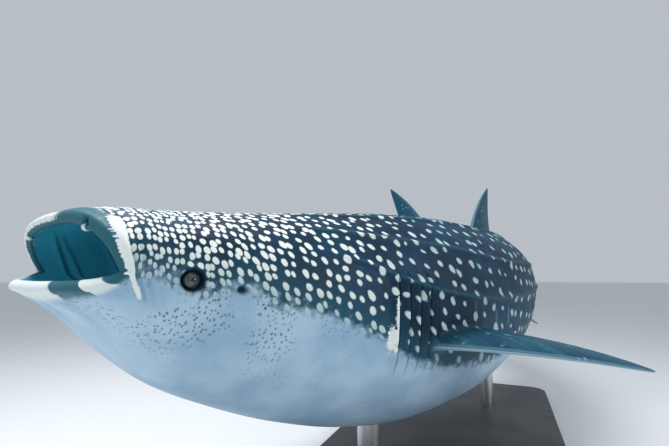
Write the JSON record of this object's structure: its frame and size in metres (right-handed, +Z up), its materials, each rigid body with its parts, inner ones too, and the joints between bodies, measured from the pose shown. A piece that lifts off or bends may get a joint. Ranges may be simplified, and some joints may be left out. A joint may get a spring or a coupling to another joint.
{
  "type": "whale shark display model",
  "caption": "Life-size still model of a whale shark feeding with its mouth open, body bent to one side, held on rods over a flat display base.",
  "frame": {"origin": "middle of the underside of the stand's base", "axes": "+Z up, nose towards -Y, tail towards +Y, the animal's left flank towards +X at the head"},
  "size_m": [2.9178, 6.012, 2.8773],
  "materials": {
    "skin": "satin spotted skin, dark back and pale belly",
    "eye": "glossy dark eye",
    "stand_base": "dark satin paint",
    "stand_rod": "brushed steel"
  },
  "bodies": {
    "root": {"upper_jaw": "skin", "lower_jaw": "skin", "head": "skin", "gill_region": "skin", "trunk_front": "skin", "trunk_middle": "skin", "trunk_rear": "skin", "tail_front": "skin", "tail_stalk": "skin", "dorsal_fin_first": "skin", "dorsal_fin_second": "skin", "anal_fin": "skin", "pectoral_fin_left": "skin", "pectoral_fin_right": "skin", "pelvic_fin_left": "skin", "pelvic_fin_right": "skin", "caudal_fin_upper": "skin", "caudal_fin_lower": "skin", "eye_left": "eye", "eye_right": "eye", "stand_base": "stand_base", "stand_rod_front": "stand_rod", "stand_rod_rear": "stand_rod"}
  },
  "joints": []
}
